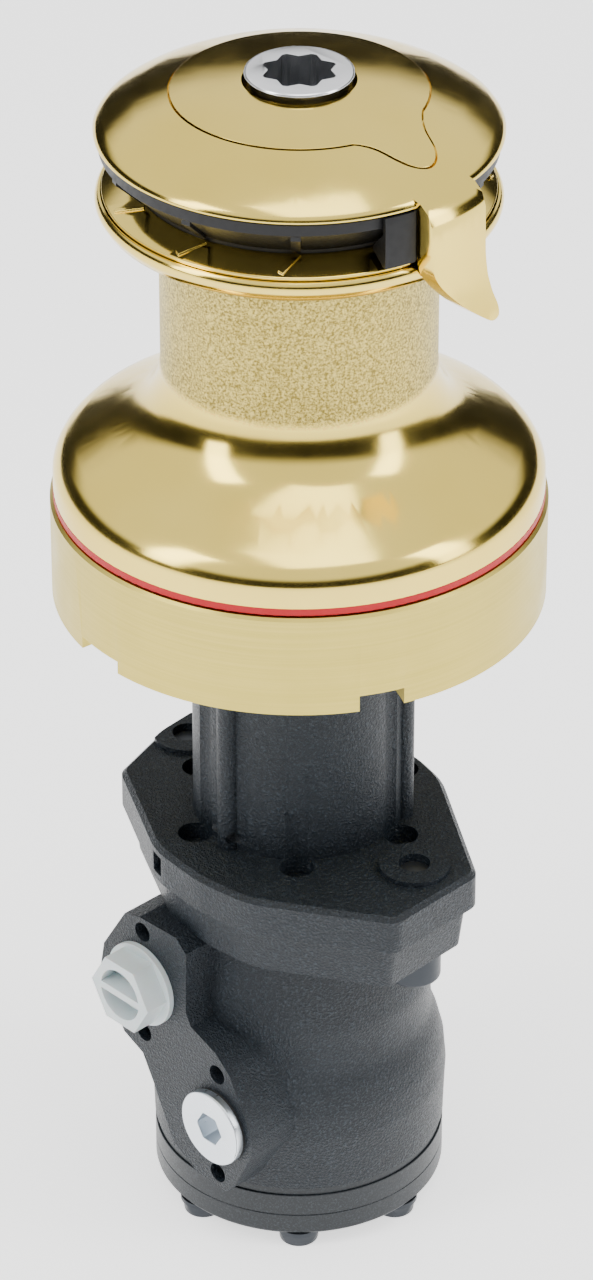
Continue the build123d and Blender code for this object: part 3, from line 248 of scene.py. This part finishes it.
def smooth_shading(bm, angle):
    """Smooth faces, with a crease only at the sharp edges."""
    for face in bm.faces:
        face.smooth = True
    for edge in bm.edges:
        edge.smooth = not is_sharp(edge, angle)

def refined(name, finish, width, segments=2):
    """A copy of a CAD node with smooth curves and rounded edges."""
    bm = merged_copy(name)
    smooth_shading(bm, crease_angle)
    piece = show_piece(bm, name + "_finished", name, finish)
    if width:
        bevel = piece.modifiers.new("rounded_edges", "BEVEL")
        bevel.width = width
        bevel.segments = segments
        bevel.limit_method = "ANGLE"
        bevel.angle_limit = crease_angle
        bevel.harden_normals = True
        bevel.miter_outer = "MITER_ARC"
    print("refined", name, len(piece.data.polygons), "faces")
    return piece

print("refined copies crease at", round(math.degrees(crease_angle)), "degrees")

# %% [markdown]
# The winch is cast in bronze and polished. Polished metal shows mostly what stands around it, so the
# colour is a strong warm gold and the roughness is low, with faint swirls left by the buffing wheel.

# %% Polished bronze
deep_gold = (0.79, 0.58, 0.115)
bright_gold = (0.86, 0.655, 0.155)

bronze = Finish("polished_bronze", Metallic=1.0)
patch = bronze.noise(14.0)
bronze.colour(bronze.spread(patch), deep_gold, bright_gold)
swirl = bronze.noise(38.0, 4.0, 0.6)
bronze.gloss(swirl, 0.09, 0.19)
wave = bronze.noise(26.0, 2.0, 0.5)
bronze.bump(wave, 0.00035, 0.18)
print("made", bronze.material.name)

# %% [markdown]
# The drum is polished at both flares, but its grip is blasted with grit so that the rope can't slip.
# One material does both: a mask on the height turns the roughness and the fine pits on.

# %% Drum bronze with a blasted grip
grip_bronze = Finish("blasted_bronze", Metallic=1.0)
drum_coords = grip_bronze.node("ShaderNodeTexCoord", out="Object")
drum_z = grip_bronze.node("ShaderNodeSeparateXYZ", {}, {0: drum_coords}, out=2)
border_waver = 0.0016
waver = grip_bronze.noise(60.0) * border_waver
lower_border = (0.0806, 0.0836)
upper_border = (0.1275, 0.1245)
above_low = grip_bronze.span(drum_z + waver, *lower_border)
below_high = grip_bronze.span(drum_z - waver, *upper_border)
grip = above_low * below_high
grains = grip_bronze.noise(1250.0, 2.0, 0.75)
coarse = grip_bronze.noise(620.0, 2.0, 0.6)
plain = grip_bronze.mix(grip_bronze.spread(grip_bronze.noise(14.0)), deep_gold, bright_gold)
glints = grip_bronze.span(grains, 0.38, 0.62)
sparkle = grip_bronze.mix(glints, (0.24, 0.18, 0.042), (0.72, 0.58, 0.17))
grip_bronze.colour(grip, plain, sparkle)
buffed = grip_bronze.spread(grip_bronze.noise(38.0, 4.0), 0.12, 0.20)
grip_bronze.set("Roughness", buffed + grip * 0.30)
grip_bronze.bump((grains + coarse) * grip, 0.0004, 0.55)
print("made", grip_bronze.material.name)

# %% [markdown]
# The base ring is turned, not polished: very fine rings run round it and the gold is paler.

# %% Satin bronze
satin = Finish("satin_bronze", Metallic=1.0)
turned = satin.noise(1.0, 5.0, 0.6, satin.place(scale=(10, 10, 1500)))
satin.colour(satin.spread(turned), (0.53, 0.42, 0.090), (0.60, 0.48, 0.115))
satin.gloss(satin.noise(60.0), 0.30, 0.42)
satin.bump(turned, 0.00003, 0.4)
print("made", satin.material.name)

# %% [markdown]
# Three plastics and a chromed socket. Moulded plastic is not even: it gets a light and dark cloud in
# its colour, a changing gloss, and a fine grain where the mould was textured.

# %% Chrome and plastics
chrome = Finish("chrome", Metallic=1.0)
chrome.colour(chrome.noise(60.0), (0.80, 0.81, 0.83), (0.88, 0.89, 0.91))
chrome.gloss(chrome.noise(120.0), 0.14, 0.24)

black = Finish("black_plastic", Specular_IOR_Level=0.3)
black.colour(black.noise(90.0), (0.0035, 0.0035, 0.004), (0.008, 0.008, 0.009))
black.gloss(black.noise(500.0), 0.34, 0.5)
black.bump(black.noise(1500.0), 0.00002, 0.3)

red = Finish("red_plastic", Specular_IOR_Level=0.25)
red.colour(red.noise(40.0), (0.42, 0.0025, 0.008), (0.50, 0.004, 0.012))
red.gloss(red.noise(300.0), 0.35, 0.5)
red.bump(red.noise(900.0), 0.00002, 0.3)

white = Finish("white_plastic", Subsurface_Weight=0.2, Subsurface_Scale=0.003)
white.colour(white.noise(80.0), (0.50, 0.56, 0.57), (0.62, 0.68, 0.69))
white.gloss(white.noise(400.0), 0.28, 0.42)
white.bump(white.noise(300.0), 0.00008, 0.3)
print("made chrome and three plastics")

# %% [markdown]
# The adapter and the motor are sand castings under a coat of black-blue paint. The sand leaves pits,
# and the coat is thin and half glossy, so each pit catches a point of light. That point of light is
# also painted into the colour: the pits are painted lighter than the coat, as a painted highlight.

# %% Painted castings
cast = Finish("painted_casting", Specular_IOR_Level=0.34)
pits_and_glints = cast.noise(1150.0, 2.0, 0.7)
broad = cast.noise(45.0, 4.0, 0.6)
dark_coat = cast.mix(cast.spread(broad), (0.0036, 0.0066, 0.0105), (0.0070, 0.0112, 0.0165))
# painted highlight: the pits are painted a lighter blue-grey where they catch light
cast.colour(cast.span(pits_and_glints, 0.52, 0.74), dark_coat, (0.030, 0.042, 0.055))
cast.gloss(pits_and_glints, 0.46, 0.30)
cast.bump(pits_and_glints + broad * 0.5, 0.0010, 0.85)

plate = Finish("painted_plate", Specular_IOR_Level=0.4)
plate_pits_and_glints = plate.noise(1500.0, 2.0, 0.7)
# painted highlight: the pits are painted lighter where they catch light, as on the castings
plate.colour(plate.span(plate_pits_and_glints, 0.5, 0.75), (0.006, 0.009, 0.012), (0.028, 0.036, 0.044))
plate.gloss(plate_pits_and_glints, 0.42, 0.30)
plate.bump(plate_pits_and_glints, 0.0002, 0.4)
print("made the painted castings")

# %% [markdown]
# Inside and at the ends there are plain steels, rubber seals and nylon cages.

# %% Steels, rubber and nylon
steel = Finish("machined_steel", Metallic=1.0)
steel.colour(steel.noise(70.0), (0.50, 0.50, 0.51), (0.60, 0.60, 0.61))
steel.gloss(steel.noise(200.0), 0.25, 0.40)
steel.bump(steel.noise(900.0), 0.00001, 0.3)

zinc = Finish("zinc_steel", Metallic=1.0)
zinc.colour(zinc.noise(90.0), (0.66, 0.71, 0.76), (0.80, 0.84, 0.88))
zinc.gloss(zinc.noise(300.0), 0.25, 0.38)
zinc.bump(zinc.noise(500.0), 0.00003, 0.4)

dark_steel = Finish("black_oxide_steel", Metallic=0.6)
dark_steel.colour(dark_steel.noise(90.0), (0.020, 0.025, 0.03), (0.045, 0.05, 0.06))
dark_steel.gloss(dark_steel.noise(600.0), 0.30, 0.45)
dark_steel.bump(dark_steel.noise(900.0), 0.00003, 0.4)

rubber = Finish("seal_rubber")
rubber.colour(rubber.noise(90.0), (0.012, 0.012, 0.012), (0.022, 0.022, 0.022))
rubber.gloss(rubber.noise(600.0), 0.6, 0.75)

nylon = Finish("nylon")
nylon.colour(nylon.noise(90.0), (0.70, 0.68, 0.58), (0.78, 0.76, 0.66))
nylon.gloss(nylon.noise(600.0), 0.4, 0.55)

steel.onto(*sorted(nodes))
nylon.onto("bearing_cages", "thrust_washer", "shaft_upper_bush", "shaft_lower_bush", "bearing_spacer")
rubber.onto("steel_plug_seal", "dust_seal", "shaft_seal")
satin.onto("gear_carrier")
dark_steel.onto("cover_washers")
print("inner nodes have their finish")

# %% [markdown]
# The outer parts are shown as refined copies. Castings get wide rounded edges, turned and pressed
# parts small ones.

# %% Refined outer parts
outer_parts = [
    # CAD node, finish, width of the rounded edge in metres, segments in it
    ("drum", grip_bronze, 0.0, 2),
    ("lower_jaw", bronze, 0.00025, 2),
    ("arm_cover", bronze, 0.00012, 2),
    ("handle_socket", chrome, 0.0005, 3),
    ("upper_jaw", black, 0.0004, 2),
    ("stripper", black, 0.0005, 2),
    ("skirt_ring", red, 0.0003, 2),
    ("base_housing", satin, 0.0005, 2),
    ("adapter_housing", cast, 0.0012, 3),
    ("motor_housing", cast, 0.0010, 3),
    ("spacer_plate", plate, 0.0003, 2),
    ("stator_ring", plate, 0.0003, 2),
    ("end_cover", plate, 0.0006, 2),
    ("port_plug_plastic", white, 0.0006, 3),
    ("port_plug_steel", zinc, 0.0004, 3),
    ("cover_bolts", dark_steel, 0.0003, 2),
    ("flange_screws", dark_steel, 0.0005, 2),
    ("adapter_screws", dark_steel, 0.0003, 2),
]
for node_name, finish, edge_width, segments in outer_parts:
    refined(node_name, finish, edge_width, segments)

# %% [markdown]
# Eight springs under the lower jaw let it give way to a thick rope by 2 mm. They can't ride on the jaw
# or on the drum, because their lower ends stand still while their upper ends move, so they flatten.
# Here they only get a mesh of their own; nothing in this script flattens them.

# %% Jaw springs
springs = refined("jaw_springs", steel, 0.0)
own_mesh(springs)

# %% [markdown]
# The arm is one casting: a dome whose rim runs out into a lug. On the real one the lug has full soft
# edges, so here its edges are bevelled much wider than the rim's before the copy is smoothed.

# %% Self-tailing arm
arm_crease_angle = math.radians(40)
lug_edge_width = 0.0026
lug_top = 0.1605
rim_radius = 0.0628
lug_start_x = 0.05

def on_lug(vert):
    """Whether a corner is past the round rim, on the side of the lug and below the dome."""
    x, y, z = vert.co
    return z < lug_top and math.hypot(x, y) > rim_radius and x > lug_start_x

bm = merged_copy("self_tailing_arm")
lug_edges = [
    edge for edge in bm.edges if is_sharp(edge, arm_crease_angle) and all(map(on_lug, edge.verts))
]
bmesh.ops.bevel(
    bm, geom=lug_edges, offset=lug_edge_width, offset_type="OFFSET", segments=5, profile=0.5,
    affect="EDGES", clamp_overlap=True, material=-1
)
smooth_shading(bm, arm_crease_angle)
arm = show_piece(bm, "self_tailing_arm_finished", "self_tailing_arm", bronze)
print("arm has", len(arm.data.polygons), "faces and", len(lug_edges), "rounded lug edges")

# %% [markdown]
# The studio: a white floor, broad soft lights, and air that is dark at eye height and bright above.
# Polished metal needs both, because its shape is read from where bright and dark meet in reflections.

# %% Studio
def soft_light(name, place, aim_at, size, power):
    """A rectangular area light, with its size in metres and its power in watts."""
    data = bpy.data.lights.new(name, "AREA")
    data.shape = "RECTANGLE"
    data.size, data.size_y = size
    data.energy = power
    light = bpy.data.objects.new(name, data)
    light.location = place
    light.rotation_euler = (Vector(aim_at) - Vector(place)).to_track_quat("-Z", "Y").to_euler()
    bpy.context.scene.collection.objects.link(light)

def around(azimuth, elevation, distance):
    """A point seen from the camera's side of the object, azimuth to the right of the camera."""
    return direction(camera_azimuth + azimuth, elevation) * distance

mid_height = (0, 0, 0.02)
deck_level = (0, 0, 0)
tall_strip = (0.35, 1.0)
square_panel = (0.7, 0.7)
soft_light("key_left", around(-62, 34, 1.2), mid_height, tall_strip, 7)
soft_light("key_right", around(70, 26, 1.2), mid_height, tall_strip, 6)
soft_light("top", around(20, 75, 1.3), deck_level, square_panel, 5)

world = bpy.data.worlds.new("studio")
bpy.context.scene.world = world
world.use_nodes = True
air = world.node_tree
sky_way = air.nodes.new("ShaderNodeTexCoord")
sky_height = air.nodes.new("ShaderNodeSeparateXYZ")
sky_ramp = air.nodes.new("ShaderNodeValToRGB")
stops = sky_ramp.color_ramp.elements
dark_below, bright_above = 0.30, 0.44
stops[0].position, stops[0].color = dark_below, (0.02, 0.02, 0.02, 1)
stops[1].position, stops[1].color = bright_above, (1.0, 1.0, 1.0, 1)
air.links.new(sky_way.outputs["Generated"], sky_height.inputs[0])
air.links.new(sky_height.outputs[2], sky_ramp.inputs[0])
air.links.new(sky_ramp.outputs[0], air.nodes["Background"].inputs["Color"])
studio_brightness = 1.35
air.nodes["Background"].inputs["Strength"].default_value = studio_brightness

floor_radius = 6.0
floor_height = cad_box[0][2]
mesh = bpy.data.meshes.new("floor")
bm = bmesh.new()
bmesh.ops.create_circle(bm, cap_ends=True, segments=96, radius=floor_radius)
bmesh.ops.translate(bm, verts=bm.verts, vec=(0, 0, floor_height))
bm.to_mesh(mesh)
bm.free()
floor = bpy.data.objects.new("floor", mesh)
bpy.context.scene.collection.objects.link(floor)
paper = Finish("white_paper", Roughness=0.9, Emission_Strength=studio_brightness)
paper.set("Base Color", (0.85, 0.85, 0.85, 1))
paper.set("Emission Color", (1.0, 1.0, 1.0, 1))
mesh.materials.append(paper.material)
print("studio is dark at eye height and bright above, its floor at", round(floor_height, 3))
